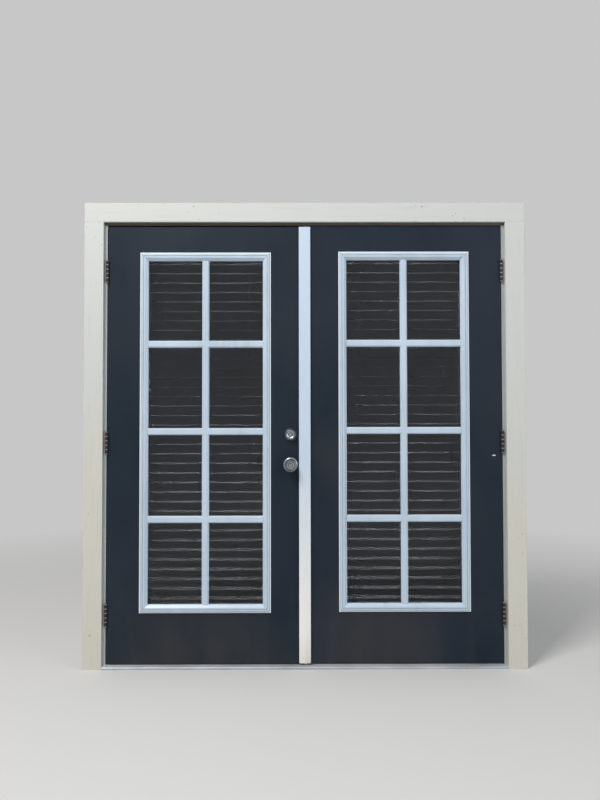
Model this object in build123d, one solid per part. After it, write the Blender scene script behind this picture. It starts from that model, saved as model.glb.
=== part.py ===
from build123d import *
import os

os.makedirs("parts", exist_ok=True)

# Frame axes: X to the right seen from outside, Y into the house, Z up.
# The origin is on the underside of the threshold, halfway between the jambs,
# at the middle of the jambs' depth. All lengths are in millimetres.

# Door leaves
leaf_width = 914.0
leaf_height = 2032.0
leaf_thickness = 44.5
sill_gap = 4.0  # under the left leaf
right_leaf_lift = 4.0  # the right leaf hangs a little higher than the left one
hinge_gap = 3.0  # between a leaf's hinge edge and its jamb
head_gap = 3.0  # over the higher leaf
leaf_edge_radius = 1.2

# Frame
jamb_depth = 116.0
jamb_thickness = 19.0  # where the leaf closes against it
stop_height = 13.0  # how far the stop stands out of the jamb
stop_setback = 8.0  # from the leaf's inner face to the stop, for the weatherstrip
casing_width = 89.0
casing_thickness = 19.0
side_reveal = 14.0  # strip of jamb edge left bare beside the casing
head_reveal = 12.0
casing_edge_radius = 1.5
casing_relief_depth = 1.6  # the hollow down the back of each board
casing_relief_margin = 24.0  # what lies flat each side of it
weatherstrip_width = 11.0
weatherstrip_bulb = 6.0
weatherstrip_round = 1.5
weatherstrip_lead = 3.0  # how far its inner edge stays back from the leaf
seal_clearance = 0.3

# Threshold
threshold_nose = 20.0  # how far it runs out past the leaf's outer face
nose_height = 10.0
nose_chamfer = 3.0
threshold_top = 16.0
threshold_step = 32.0  # top of the upstand behind the leaves
step_lead = 1.0  # how far the upstand starts in front of the stop
step_width = 13.0
step_chamfer = 2.0
threshold_back = 14.0
rib_start = 6.0  # from the leaf's outer face to the first rib
rib_width = 2.0
rib_depth = 1.2
rib_pitch = 5.0
rib_count = 4
bolt_hole_floor = 2.0  # metal left under the hole for the lower flush bolt
sweep_thickness = 30.0
sweep_end_inset = 2.0
sweep_fin_count = 4
sweep_fin_width = 2.0
sweep_base_height = 1.6
fin_clearance = 0.8

# Astragal between the leaves
stem_thickness = 8.0
stem_clearance = 4.5
flange_width = 54.0
flange_thickness = 9.0
flange_stand_off = 3.0  # over the right leaf's face
flange_bottom_lift = 4.0
flange_top_drop = 3.0
flange_edge_radius = 2.5
flange_corner_radius = 5.0

# Glazed light in each leaf
lite_stile = 152.0  # from the leaf's side edges to the lite frame
lite_bottom_rail = 234.0  # from the leaf's bottom to the lite frame
lite_top_rail = 122.0
frame_lap = 22.5  # how far the lite frame laps over the leaf, all round
leg_play = 1.5  # between the lite frame's leg and the hole in the leaf
glass_unit_thickness = 16.0
pane_thickness = 3.0
glass_seal_width = 8.0
glass_play = 3.0  # between the glass and the hole in the leaf, all round
lite_border = 37.0
lite_frame_rise = 11.0
lite_edge_height = 4.0
lite_edge_inset = 5.0
lite_shoulder_angle = 30.0
lite_slope_width = 12.0  # inner slope down to the glass
lite_lip_height = 1.0  # where the slope ends above the leaf's face
lite_groove_inset = 15.0
lite_groove_width = 3.0
lite_groove_depth = 1.6
bar_width = 32.0
bar_front_width = 22.0
bar_rise = 2.5  # above the leaf's face
bar_bevel_height = 5.0
bar_end_clearance = 0.2
pane_rows = 4

# Hinges
hinge_height = 102.0
hinge_plate_width = 30.0
hinge_plate_thickness = 2.5
knuckle_radius = 6.5
knuckle_count = 5
knuckle_gap = 0.4
pin_radius = 3.0
pin_play = 0.05
pin_head_radius = 5.2
pin_head_height = 4.0
pin_stand_off = 7.0  # pin axis in front of the leaf's outer face
pin_tip_radius = 2.4
lower_hinge_inset = 225.0  # from the leaf's bottom to the middle of the hinge
upper_hinge_inset = 211.0  # from the leaf's top
middle_hinge_drop = 3.0  # below halfway between the other two
swing_clearance = 0.4

# Knob set and deadbolt
backset = 60.0
knob_height = 918.0  # above the leaf's bottom
deadbolt_rise = 140.0  # above the knob
cross_bore_radius = 27.0
edge_bore_radius = 12.7
rose_radius = 35.0
rose_rim_height = 2.5
rose_bevel = 3.0
rose_height = 9.0
rose_flat_radius = 18.0
knob_radius = 27.0
knob_neck_radius = 12.0
knob_neck_length = 17.0  # from the leaf's face to where the knob flares out
knob_belly_height = 40.0  # where the knob is widest
knob_projection = 62.0
knob_face_radius = 19.0
knob_rim_width = 2.0
knob_dish_depth = 2.0
knob_core_drop = 0.5
key_face_radius = 8.5
spindle_radius = 6.0
spindle_shoulder = 2.0  # how far the neck reaches into the leaf
turning_play = 0.08
collar_base_radius = 30.0
collar_rim_height = 4.0
collar_bevel = 2.0
collar_front_radius = 23.0
collar_height = 22.0
collar_lip_width = 4.0
collar_dish_depth = 3.0
collar_dish_radius = 11.5
plug_drop = 1.5  # the key plug's face below the collar's front
plug_chamfer = 1.0
keyway_width = 1.8
keyway_height = 9.0
keyway_depth = 6.0
thumb_plate_height = 8.0
thumb_plate_slope = 5.0
thumb_hub_rise = 2.0
thumbturn_length = 34.0
thumbturn_width = 9.0
thumbturn_projection = 22.0
thumbturn_stand_off = 1.0
thumbturn_corner_radius = 3.5
thumbturn_edge_radius = 2.0
tailpiece_radius = 3.0
case_radius = 12.2
case_plate_height = 57.0
case_plate_width = 25.4
case_plate_thickness = 2.5
bolt_clearance = 0.3
latch_width = 12.0
latch_height = 17.0
latch_throw = 12.0
latch_length = 26.0
latch_tip_width = 2.5
latch_slope_clearance = 1.0
deadbolt_width = 14.0
deadbolt_height = 19.0
deadbolt_throw = 24.0
deadbolt_length = 30.0
bolt_chamfer = 1.5
bolt_tail_width = 6.0
bolt_tail_height = 10.0
bolt_setback = 0.5  # tip behind the faceplate when drawn back
bolt_tail_gap = 1.0  # from the bolt's tail to the turning spindle
strike_height = 70.0
strike_width = 29.0
strike_thickness = 2.0
pocket_clearance = 1.0
pocket_end_clearance = 3.0

# Flush bolts in the right leaf's meeting edge
flush_bolt_radius = 5.0
flush_bolt_length = 180.0
flush_bolt_play = 0.08
flush_bolt_throw = 14.0
flush_bolt_setback = 22.0  # from the leaf's meeting edge
flush_bolt_recess = 0.5
flush_bolt_spare = 10.0  # how much deeper its bore is than the bolt
flush_hole_clearance = 1.0

# Blinds behind the glass
blind_overlap = 15.0  # past each side of the lite frame
slat_depth = 50.0
slat_thickness = 3.0
slat_pitch = 46.5
slat_bevel = 0.8
slat_tilt = 4.0  # degrees, room side up
blind_offset = 6.0  # from the inner lite frame to the slats' outer edge
headrail_height = 45.0
headrail_depth = 57.0
headrail_wall = 1.5
headrail_lift = 12.0  # above the inner lite frame
bottom_rail_height = 16.0
bottom_rail_chamfer = 3.0
ladder_inset = 121.0  # from the blind's ends
ladder_thickness = 2.0
ladder_bite = 0.6  # how deep the strings sit in the slats' edges
bracket_width = 24.0
bracket_thickness = 2.0
bracket_inset = 60.0

# Cords that hang from the headrail on the room side, each with a bell-shaped tassel
cord_diameter = 1.6
cord_setback = 2.0  # from the headrail's room side to the cord
tassel_radius = 6.5
tassel_neck_radius = 2.2
tassel_shoulder_radius = 4.0
tassel_length = 28.0
tassel_foot = 4.0
tassel_clearance = 0.3  # from the slats' edges
# The blind's end, the distance in from it, and the drop from the headrail to the tassel
blind_cords = {
    "left": ((-1, 57.0, 1001.0), (-1, 71.0, 1008.0), (1, 62.0, 1015.0), (1, 76.0, 983.0)),
    "right": ((-1, 62.0, 1359.0), (-1, 76.0, 1321.0), (1, 71.0, 985.0), (1, 57.0, 1030.0)),
}

# Places worked out from the sizes above
left_leaf_bottom = threshold_top + sill_gap
right_leaf_bottom = left_leaf_bottom + right_leaf_lift
lite_frame_width = leaf_width - 2 * lite_stile
lite_frame_height = leaf_height - lite_bottom_rail - lite_top_rail
meeting_gap = stem_thickness + stem_clearance
meeting_x = meeting_gap / 2
hinge_edge_x = meeting_x + leaf_width
jamb_x = hinge_edge_x + hinge_gap
jamb_outer_x = jamb_x + jamb_thickness
jamb_inner_x = jamb_x - stop_height
pin_x = hinge_edge_x + hinge_gap / 2
outer_y = -jamb_depth / 2
leaf_outer_y = outer_y
leaf_inner_y = leaf_outer_y + leaf_thickness
leaf_mid_y = (leaf_outer_y + leaf_inner_y) / 2
stop_y = leaf_inner_y + stop_setback
inner_y = jamb_depth / 2
pin_y = leaf_outer_y - pin_stand_off
head_z = max(left_leaf_bottom, right_leaf_bottom) + leaf_height + head_gap
head_top_z = head_z + jamb_thickness
casing_inner_x = jamb_x + side_reveal
casing_outer_x = casing_inner_x + casing_width
casing_inner_z = head_z + head_reveal
casing_top_z = casing_inner_z + casing_width
leaf_center_x = meeting_x + leaf_width / 2
lite_opening_width = lite_frame_width - 2 * lite_border
lite_opening_height = lite_frame_height - 2 * lite_border
slab_opening_width = lite_frame_width - 2 * frame_lap
slab_opening_height = lite_frame_height - 2 * frame_lap
glass_width = slab_opening_width - 2 * glass_play
glass_height = slab_opening_height - 2 * glass_play
glass_depth = (leaf_thickness - glass_unit_thickness) / 2
lite_center_rise = lite_bottom_rail + lite_frame_height / 2
stem_left_x = -meeting_x
stem_right_x = stem_left_x + stem_thickness
lock_x = -meeting_x - backset
flush_bolt_x = meeting_x + flush_bolt_setback
blind_width = lite_frame_width + 2 * blind_overlap
ladder_spacing = blind_width - 2 * ladder_inset
lower_hinge = lower_hinge_inset
upper_hinge = leaf_height - upper_hinge_inset
hinge_heights = {  # above the leaf's bottom
    "lower": lower_hinge,
    "middle": (lower_hinge + upper_hinge) / 2 - middle_hinge_drop,
    "upper": upper_hinge,
}


def write(name, shape):
    shape.label = name
    export_step(shape, f"parts/{name}.step")


def block(x0, x1, y0, y1, z0, z1):
    """A box between two corners."""
    size = (x1 - x0, y1 - y0, z1 - z0)
    return Pos((x0 + x1) / 2, (y0 + y1) / 2, (z0 + z1) / 2) * Box(*size)


def along_x(points, x0, x1):
    """Extrudes a closed (y, z) outline from x0 to x1."""
    face = make_face(Polyline(*[(x0, y, z) for y, z in points], close=True))
    return extrude(face, amount=x1 - x0, dir=(1, 0, 0))


def along_z(points, z0, z1):
    """Extrudes a closed (x, y) outline from z0 to z1."""
    face = make_face(Polyline(*[(x, y, z0) for x, y in points], close=True))
    return extrude(face, amount=z1 - z0, dir=(0, 0, 1))


def rod(x, y, z, radius, length, axis):
    """A cylinder that starts at a point and runs along an axis."""
    return Plane(origin=(x, y, z), z_dir=axis) * Cylinder(
        radius, length, align=(Align.CENTER, Align.CENTER, Align.MIN)
    )


def turned(x, z, y, direction, profile):
    """Revolves a (radius, distance) outline about a line along Y, outwards from the face at y."""
    outline = Polyline(*profile, close=True) if isinstance(profile, list) else profile
    solid = revolve(make_face(Plane.XZ * outline), axis=Axis.Z)
    return Plane(origin=(x, y, z), x_dir=(1, 0, 0), z_dir=(0, direction, 0)) * solid


def on_leaf(shape, x, z, direction):
    """Moves a shape drawn on XY, rising along Z, to a face of a leaf that points in or out."""
    face_y = leaf_outer_y if direction < 0 else leaf_inner_y
    return Pos(x, face_y, z) * Rot(-90 * direction, 0, 0) * shape


# Fixed frame


def jamb(side):
    outline = [
        (side * jamb_outer_x, outer_y),
        (side * jamb_x, outer_y),
        (side * jamb_x, stop_y),
        (side * jamb_inner_x, stop_y),
        (side * jamb_inner_x, inner_y),
        (side * jamb_outer_x, inner_y),
    ]
    post = along_z(outline, 0, head_z)
    for height in hinge_heights.values():
        z = hinge_z(side, height)
        post -= hinge_mortise(side * jamb_x, side * (jamb_x + hinge_plate_thickness), z)
    return post


def head_jamb():
    outline = [
        (outer_y, head_top_z),
        (outer_y, head_z),
        (stop_y, head_z),
        (stop_y, head_z - stop_height),
        (inner_y, head_z - stop_height),
        (inner_y, head_top_z),
    ]
    head = along_x(outline, -jamb_outer_x, jamb_outer_x)
    for side in (-1, 1):
        head -= block(
            *sorted((side * jamb_inner_x, side * jamb_outer_x)),
            stop_y,
            inner_y,
            head_z - stop_height,
            head_z,
        )
    hole = flush_bolt_radius + flush_hole_clearance
    depth = flush_bolt_throw + pocket_end_clearance
    return head - rod(flush_bolt_x, leaf_mid_y, head_z, hole, depth, (0, 0, 1))


def threshold():
    nose_y = leaf_outer_y - threshold_nose
    step_y = stop_y - step_lead
    outline = [
        (nose_y, 0),
        (nose_y, nose_height - nose_chamfer),
        (nose_y + nose_chamfer, nose_height),
        (leaf_outer_y, threshold_top),
        (step_y, threshold_top),
        (step_y, threshold_step - step_chamfer),
        (step_y + step_chamfer, threshold_step),
        (step_y + step_width, threshold_step),
        (inner_y, threshold_back),
        (inner_y, 0),
    ]
    sill = along_x(outline, -jamb_x, jamb_x)
    for side in (-1, 1):
        edges = sorted((side * jamb_inner_x, side * jamb_x))
        sill -= block(*edges, stop_y, inner_y, 0, threshold_step)
    nose = outline[:4] + [(leaf_outer_y, 0)]
    for side in (-1, 1):
        ear = along_x(nose, *sorted((side * jamb_x, side * casing_inner_x)))
        sill += ear & block(-casing_inner_x, casing_inner_x, nose_y, outer_y, 0, threshold_top)
    for i in range(rib_count):
        y = leaf_outer_y + rib_start + i * rib_pitch
        sill -= block(-jamb_x, jamb_x, y, y + rib_width, threshold_top - rib_depth, threshold_top)
    hole = flush_bolt_radius + flush_hole_clearance
    depth = threshold_top - bolt_hole_floor
    return sill - rod(flush_bolt_x, leaf_mid_y, threshold_top, hole, depth, (0, 0, -1))


def casing_board(x0, x1, z0, z1, long_axis):
    """A flat board with rounded outer edges and a shallow hollow down its back."""
    board = block(x0, x1, outer_y - casing_thickness, outer_y, z0, z1)
    board = fillet(front_edges(board, long_axis), casing_edge_radius)
    margin = casing_relief_margin
    if long_axis == Axis.Z:
        x0, x1 = x0 + margin, x1 - margin
    else:
        z0, z1 = z0 + margin, z1 - margin
    return board - block(x0, x1, outer_y - casing_relief_depth, outer_y, z0, z1)


def side_casing(side):
    x0, x1 = sorted((side * casing_inner_x, side * casing_outer_x))
    return casing_board(x0, x1, 0, casing_inner_z, Axis.Z)


def head_casing():
    return casing_board(-casing_outer_x, casing_outer_x, casing_inner_z, casing_top_z, Axis.X)


def front_edges(board, axis):
    """The two long edges of a board's outer face."""
    return board.edges().filter_by(axis).group_by(Axis.Y)[0]


def seal_profile(face, back, inner, outer):
    """A bulb seal: a flat back in the rebate's corner and a rounded front that meets the leaf."""
    return [
        (outer, back),
        (outer, face + weatherstrip_round),
        (outer - weatherstrip_round, face),
        (outer - weatherstrip_bulb, face),
        (inner, face + weatherstrip_lead),
        (inner, back),
    ]


def side_seal(side):
    seal = seal_profile(
        leaf_inner_y + seal_clearance, stop_y, jamb_x - weatherstrip_width, jamb_x
    )
    outline = [(side * x, y) for x, y in seal]
    return along_z(outline, threshold_step, head_z - weatherstrip_width)


def head_seal():
    seal = seal_profile(
        leaf_inner_y + seal_clearance, stop_y, head_z - weatherstrip_width, head_z
    )
    return along_x([(y, z) for z, y in seal], -jamb_x, jamb_x)


# Hinges


def hinge_z(side, height):
    bottom = left_leaf_bottom if side < 0 else right_leaf_bottom
    return bottom + height


def hinge_mortise(x0, x1, z):
    """The recess that takes a hinge plate, from the outer face inwards."""
    half = hinge_height / 2
    y1 = outer_y + hinge_plate_width
    return block(*sorted((x0, x1)), outer_y, y1, z - half, z + half)


def knuckle_spans(z, odd):
    """The heights of every other knuckle, with a running gap at each end."""
    step = hinge_height / knuckle_count
    start = z - hinge_height / 2
    for i in range(knuckle_count):
        if (i % 2 == 1) == odd:
            low = start + i * step + (knuckle_gap / 2 if i else 0)
            high = start + (i + 1) * step - (knuckle_gap / 2 if i < knuckle_count - 1 else 0)
            yield low, high


def hinge_plate(side, z, moving):
    """One half of a hinge: the jamb's with three knuckles, or the leaf's with two."""
    edge = hinge_edge_x if moving else jamb_x
    depth = -hinge_plate_thickness if moving else hinge_plate_thickness
    half = hinge_height / 2
    x0, x1 = sorted((side * edge, side * (edge + depth)))
    plate = block(x0, x1, pin_y, outer_y + hinge_plate_width, z - half, z + half)
    for low, high in knuckle_spans(z, not moving):
        room = knuckle_radius + swing_clearance
        plate -= rod(
            side * pin_x, pin_y, low - knuckle_gap, room, high - low + 2 * knuckle_gap, (0, 0, 1)
        )
    for low, high in knuckle_spans(z, moving):
        plate += rod(side * pin_x, pin_y, low, knuckle_radius, high - low, (0, 0, 1))
    bore = rod(side * pin_x, pin_y, z - half, pin_radius + pin_play, hinge_height, (0, 0, 1))
    return plate - bore


def hinge_pin(side, z):
    half = hinge_height / 2
    shank = rod(side * pin_x, pin_y, z - half, pin_radius, hinge_height, (0, 0, 1))
    for start, direction in ((z + half, 1), (z - half, -1)):
        tip = rod(side * pin_x, pin_y, start, pin_head_radius, pin_head_height, (0, 0, direction))
        end = tip.edges().group_by(Axis.Z)[-1 if direction > 0 else 0]
        shank += fillet(end, pin_tip_radius)
    return shank


# Leaves


def leaf_slab(side, bottom):
    x0, x1 = sorted((side * meeting_x, side * hinge_edge_x))
    slab = block(x0, x1, leaf_outer_y, leaf_inner_y, bottom, bottom + leaf_height)
    slab = fillet(slab.edges().filter_by(Axis.Z), leaf_edge_radius)
    center = bottom + lite_center_rise
    half_w = slab_opening_width / 2
    half_h = slab_opening_height / 2
    x = side * leaf_center_x
    slab -= block(
        x - half_w, x + half_w, leaf_outer_y, leaf_inner_y, center - half_h, center + half_h
    )
    for height in hinge_heights.values():
        z = hinge_z(side, height)
        inner = side * (hinge_edge_x - hinge_plate_thickness)
        slab -= hinge_mortise(side * hinge_edge_x, inner, z)
    return slab


def lock_heights():
    knob_z = left_leaf_bottom + knob_height
    return knob_z, knob_z + deadbolt_rise


def left_leaf():
    slab = leaf_slab(-1, left_leaf_bottom)
    for z in lock_heights():
        slab -= rod(lock_x, leaf_outer_y, z, cross_bore_radius, leaf_thickness, (0, 1, 0))
        slab -= rod(lock_x, leaf_mid_y, z, edge_bore_radius, backset, (1, 0, 0))
    return slab


def strike_mortise(z):
    half_h = strike_height / 2
    half_w = strike_width / 2
    x1 = meeting_x + strike_thickness
    return block(meeting_x, x1, leaf_mid_y - half_w, leaf_mid_y + half_w, z - half_h, z + half_h)


def bolt_pocket(z, width, height, throw):
    half_w = width / 2 + pocket_clearance
    half_h = height / 2 + pocket_clearance
    end = stem_right_x + throw + pocket_end_clearance
    return block(
        meeting_x, end, leaf_mid_y - half_w, leaf_mid_y + half_w, z - half_h, z + half_h
    )


def pockets():
    knob_z, bolt_z = lock_heights()
    return {
        "latch_strike": (knob_z, bolt_pocket(knob_z, latch_width, latch_height, latch_throw)),
        "deadbolt_strike": (
            bolt_z,
            bolt_pocket(bolt_z, deadbolt_width, deadbolt_height, deadbolt_throw),
        ),
    }


def right_leaf():
    slab = leaf_slab(1, right_leaf_bottom)
    for z, pocket in pockets().values():
        slab -= strike_mortise(z) + pocket
    for _, z, up in flush_bolts():
        hole = flush_bolt_radius + flush_bolt_play
        depth = flush_bolt_length + flush_bolt_recess + flush_bolt_spare
        slab -= rod(flush_bolt_x, leaf_mid_y, z, hole, depth, (0, 0, -up))
    return slab


def flush_bolts():
    """Name, height of the leaf's end edge, and the way each bolt goes out."""
    top = right_leaf_bottom + leaf_height
    return ("upper_flush_bolt", top, 1), ("lower_flush_bolt", right_leaf_bottom, -1)


def flush_bolt(z, up):
    start = z - up * flush_bolt_recess
    bolt = rod(
        flush_bolt_x, leaf_mid_y, start, flush_bolt_radius, flush_bolt_length, (0, 0, -up)
    )
    nose = bolt.edges().group_by(Axis.Z)[-1 if up > 0 else 0]
    return chamfer(nose, bolt_chamfer)


def door_sweep(side, bottom):
    """A strip under the leaf with fins that reach down towards the threshold."""
    x0, x1 = sorted((side * (meeting_x + sweep_end_inset), side * (hinge_edge_x - sweep_end_inset)))
    y0 = leaf_mid_y - sweep_thickness / 2
    y1 = leaf_mid_y + sweep_thickness / 2
    strip = block(x0, x1, y0, y1, bottom - sweep_base_height, bottom)
    pitch = (sweep_thickness - sweep_fin_width) / (sweep_fin_count - 1)
    for i in range(sweep_fin_count):
        y = y0 + i * pitch
        strip += block(x0, x1, y, y + sweep_fin_width, threshold_top + fin_clearance, bottom)
    if side > 0:
        hole = flush_bolt_radius + flush_hole_clearance
        strip -= rod(flush_bolt_x, leaf_mid_y, 0, hole, bottom, (0, 0, 1))
    return strip


def lite_frame(with_bars):
    """The moulded frame on one face of a leaf, drawn on XY with the face at Z = 0."""
    low = extrude(Rectangle(lite_frame_width, lite_frame_height), lite_edge_height)
    raised = extrude(
        Pos(0, 0, lite_edge_height)
        * Rectangle(
            lite_frame_width - 2 * lite_edge_inset, lite_frame_height - 2 * lite_edge_inset
        ),
        lite_frame_rise - lite_edge_height,
        taper=lite_shoulder_angle,
    )
    leg_w = slab_opening_width - 2 * leg_play
    leg_h = slab_opening_height - 2 * leg_play
    leg = extrude(Rectangle(leg_w, leg_h), -glass_depth)
    body = low + raised + leg
    through = Pos(0, 0, -glass_depth) * Rectangle(lite_opening_width, lite_opening_height)
    body -= extrude(through, glass_depth + lite_frame_rise)
    wide = Rectangle(
        lite_opening_width + 2 * lite_slope_width, lite_opening_height + 2 * lite_slope_width
    )
    near = Rectangle(lite_opening_width, lite_opening_height)
    body -= loft([Pos(0, 0, lite_lip_height) * near, Pos(0, 0, lite_frame_rise) * wide])
    inset = 2 * lite_groove_inset
    ring = Rectangle(lite_frame_width - inset, lite_frame_height - inset) - Rectangle(
        lite_frame_width - inset - 2 * lite_groove_width,
        lite_frame_height - inset - 2 * lite_groove_width,
    )
    body -= extrude(Pos(0, 0, lite_frame_rise - lite_groove_depth) * ring, lite_groove_depth)
    if with_bars:
        body += grille(0)
    return body


def bar(length):
    """A glazing bar along X with sloped shoulders, from the glass to just above the face."""
    half = bar_width / 2
    front = bar_front_width / 2
    shoulder = bar_rise - bar_bevel_height
    points = [
        (-half, -glass_depth),
        (half, -glass_depth),
        (half, shoulder),
        (front, bar_rise),
        (-front, bar_rise),
        (-half, shoulder),
    ]
    face = make_face(Polyline(*[(-length / 2, y, z) for y, z in points], close=True))
    return extrude(face, amount=length, dir=(1, 0, 0))


def grille(clearance):
    """One upright bar and the crossbars, drawn on XY with the leaf's face at Z = 0."""
    width = lite_opening_width - 2 * clearance
    height = lite_opening_height - 2 * clearance
    bars = Rot(0, 0, 90) * bar(height)
    row = (lite_opening_height - (pane_rows - 1) * bar_width) / pane_rows + bar_width
    for i in range(pane_rows - 1):
        y = (i - (pane_rows - 2) / 2) * row
        bars += Pos(0, y, 0) * bar(width)
    return bars


def glass_unit(x, z):
    """Two panes sealed at their edges, with the gas space between them."""
    unit = Pos(x, leaf_mid_y, z) * Box(glass_width, glass_unit_thickness, glass_height)
    space = Pos(x, leaf_mid_y, z) * Box(
        glass_width - 2 * glass_seal_width,
        glass_unit_thickness - 2 * pane_thickness,
        glass_height - 2 * glass_seal_width,
    )
    return unit - space


def astragal():
    """A T in section: the stem on the left leaf's edge, the flange over both leaves."""
    half = flange_width / 2
    front = leaf_outer_y - flange_stand_off - flange_thickness
    low = left_leaf_bottom + flange_bottom_lift
    high = left_leaf_bottom + leaf_height - flange_top_drop
    flange = block(-half, half, front, leaf_outer_y, low, high)
    flange -= block(stem_right_x, half, leaf_outer_y - flange_stand_off, leaf_outer_y, low, high)
    corners = flange.edges().filter_by(Axis.Y).group_by(Axis.Z)[0]
    flange = fillet(corners, flange_corner_radius)
    flange = fillet(front_edges(flange, Axis.Z), flange_edge_radius)
    tee = flange + block(stem_left_x, stem_right_x, leaf_outer_y, leaf_inner_y, low, high)
    for z in lock_heights():
        tee -= rod(stem_left_x, leaf_mid_y, z, edge_bore_radius, stem_thickness, (1, 0, 0))
        tee -= case_plate(z)
    return tee


# Knob set and deadbolt in the left leaf


def case_plate(z):
    half_w = case_plate_width / 2
    half_h = case_plate_height / 2
    x0 = stem_right_x - case_plate_thickness
    return block(x0, stem_right_x, leaf_mid_y - half_w, leaf_mid_y + half_w, z - half_h, z + half_h)


def bolt_start(spindle):
    """Where a bolt's tail ends, just short of the spindle that draws it."""
    return lock_x + spindle + bolt_tail_gap


def bolt_case(z, width, height):
    """The faceplate and the tube behind it that guides a bolt."""
    start = lock_x + cross_bore_radius
    tube = rod(start, leaf_mid_y, z, case_radius, stem_right_x - start, (1, 0, 0))
    half_w = width / 2 + bolt_clearance
    half_h = height / 2 + bolt_clearance
    guide = block(
        start, stem_right_x, leaf_mid_y - half_w, leaf_mid_y + half_w, z - half_h, z + half_h
    )
    return tube + case_plate(z) - guide


def latch_bolt(z):
    """A spring latch with a sloped nose that rides over the strike as the leaf closes."""
    tip = stem_right_x - bolt_setback
    half_w = latch_width / 2
    back = tip - latch_length
    nose = [
        (back, leaf_mid_y - half_w),
        (tip, leaf_mid_y - half_w),
        (tip, leaf_mid_y - half_w + latch_tip_width),
        (tip - latch_throw + latch_slope_clearance, leaf_mid_y + half_w),
        (back, leaf_mid_y + half_w),
    ]
    bolt = along_z(nose, z - latch_height / 2, z + latch_height / 2)
    return bolt + bolt_tail(bolt_start(spindle_radius), back, z)


def bolt_tail(start, end, z):
    """The flat bar that joins a bolt to the spindle that draws it."""
    half_w = bolt_tail_width / 2
    half_h = bolt_tail_height / 2
    return block(start, end, leaf_mid_y - half_w, leaf_mid_y + half_w, z - half_h, z + half_h)


def dead_bolt(z):
    tip = stem_right_x - bolt_setback
    half_w = deadbolt_width / 2
    half_h = deadbolt_height / 2
    back = tip - deadbolt_length
    bolt = block(back, tip, leaf_mid_y - half_w, leaf_mid_y + half_w, z - half_h, z + half_h)
    bolt = chamfer(bolt.faces().sort_by(Axis.X)[-1].edges(), bolt_chamfer)
    return bolt + bolt_tail(bolt_start(tailpiece_radius), back, z)


def rose(z, direction):
    face_y = leaf_outer_y if direction < 0 else leaf_inner_y
    hole = knob_neck_radius + turning_play
    rim = (rose_radius, rose_rim_height)
    shoulder = (rose_radius - rose_bevel, rose_rim_height + rose_bevel)
    flat = (rose_flat_radius, rose_height)
    rise = rose_height - shoulder[1]
    profile = Curve() + [
        Polyline((hole, rose_height), (hole, 0), (rose_radius, 0), rim, shoulder),
        Spline(shoulder, flat, tangents=[(-rise, rise), (-1, 0)]),
        Line(flat, (hole, rose_height)),
    ]
    return turned(lock_x, z, face_y, direction, profile)


def knob(z, direction):
    """A turned knob with its neck through the rose and half of the spindle behind it."""
    face_y = leaf_outer_y if direction < 0 else leaf_inner_y
    half = leaf_thickness / 2
    top = knob_projection
    core = top - knob_core_drop
    neck = (knob_neck_radius, knob_neck_length)
    belly = (knob_radius, knob_belly_height)
    face = (knob_face_radius, top)
    profile = Curve() + [
        Polyline(
            (0, core),
            (0, -half),
            (spindle_radius, -half),
            (spindle_radius, -spindle_shoulder),
            (knob_neck_radius, -spindle_shoulder),
            neck,
        ),
        Spline(neck, belly, tangents=[(0, 1), (0, 1)]),
        Spline(belly, face, tangents=[(0, 1), (-1, 1)]),
        Polyline(
            face,
            (knob_face_radius - knob_rim_width, top - knob_dish_depth),
            (key_face_radius + knob_core_drop, top - knob_dish_depth),
            (key_face_radius, core),
            (0, core),
        ),
    ]
    return turned(lock_x, z, face_y, direction, profile)


def deadbolt_collar(z):
    hole = key_face_radius + turning_play
    top = collar_height
    dish = top - collar_dish_depth
    profile = [
        (hole, 0),
        (collar_base_radius, 0),
        (collar_base_radius, collar_rim_height),
        (collar_base_radius - collar_bevel, collar_rim_height + collar_bevel),
        (collar_front_radius, top - collar_bevel),
        (collar_front_radius - collar_bevel, top),
        (collar_front_radius - collar_lip_width, top),
        (collar_dish_radius, dish),
        (hole, dish),
    ]
    return turned(lock_x, z, leaf_outer_y, -1, profile)


def key_plug(z):
    """The round lock core with its keyway, and the tailpiece behind it."""
    top = collar_height - plug_drop
    half = leaf_thickness / 2
    profile = [
        (0, -half),
        (tailpiece_radius, -half),
        (tailpiece_radius, 0),
        (key_face_radius, 0),
        (key_face_radius, top - plug_chamfer),
        (key_face_radius - plug_chamfer, top),
        (0, top),
    ]
    plug = turned(lock_x, z, leaf_outer_y, -1, profile)
    y = leaf_outer_y - top
    half_w = keyway_width / 2
    half_h = keyway_height / 2
    slot = block(lock_x - half_w, lock_x + half_w, y, y + keyway_depth, z - half_h, z + half_h)
    return plug - slot


def thumbturn_plate(z):
    hole = key_face_radius + turning_play
    profile = [
        (hole, 0),
        (collar_base_radius, 0),
        (collar_base_radius, collar_rim_height),
        (collar_base_radius - thumb_plate_slope, thumb_plate_height),
        (hole, thumb_plate_height),
    ]
    return turned(lock_x, z, leaf_inner_y, 1, profile)


def thumbturn(z):
    """The inside turn: a hub through the plate, a flat grip, and its half of the tailpiece."""
    half = leaf_thickness / 2
    hub_top = thumb_plate_height + thumb_hub_rise
    profile = [
        (0, -half),
        (tailpiece_radius, -half),
        (tailpiece_radius, 0),
        (key_face_radius, 0),
        (key_face_radius, hub_top),
        (0, hub_top),
    ]
    hub = turned(lock_x, z, leaf_inner_y, 1, profile)
    grip_base = thumb_plate_height + thumbturn_stand_off
    grip = Box(thumbturn_width, thumbturn_length, thumbturn_projection - grip_base)
    grip = fillet(grip.edges().filter_by(Axis.Z), thumbturn_corner_radius)
    grip = fillet(grip.faces().sort_by(Axis.Z)[-1].edges(), thumbturn_edge_radius)
    rise = (thumbturn_projection + grip_base) / 2
    return hub + on_leaf(Pos(0, 0, rise) * grip, lock_x, z, 1)


def strike_plate(z, pocket):
    return strike_mortise(z) - pocket


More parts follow.
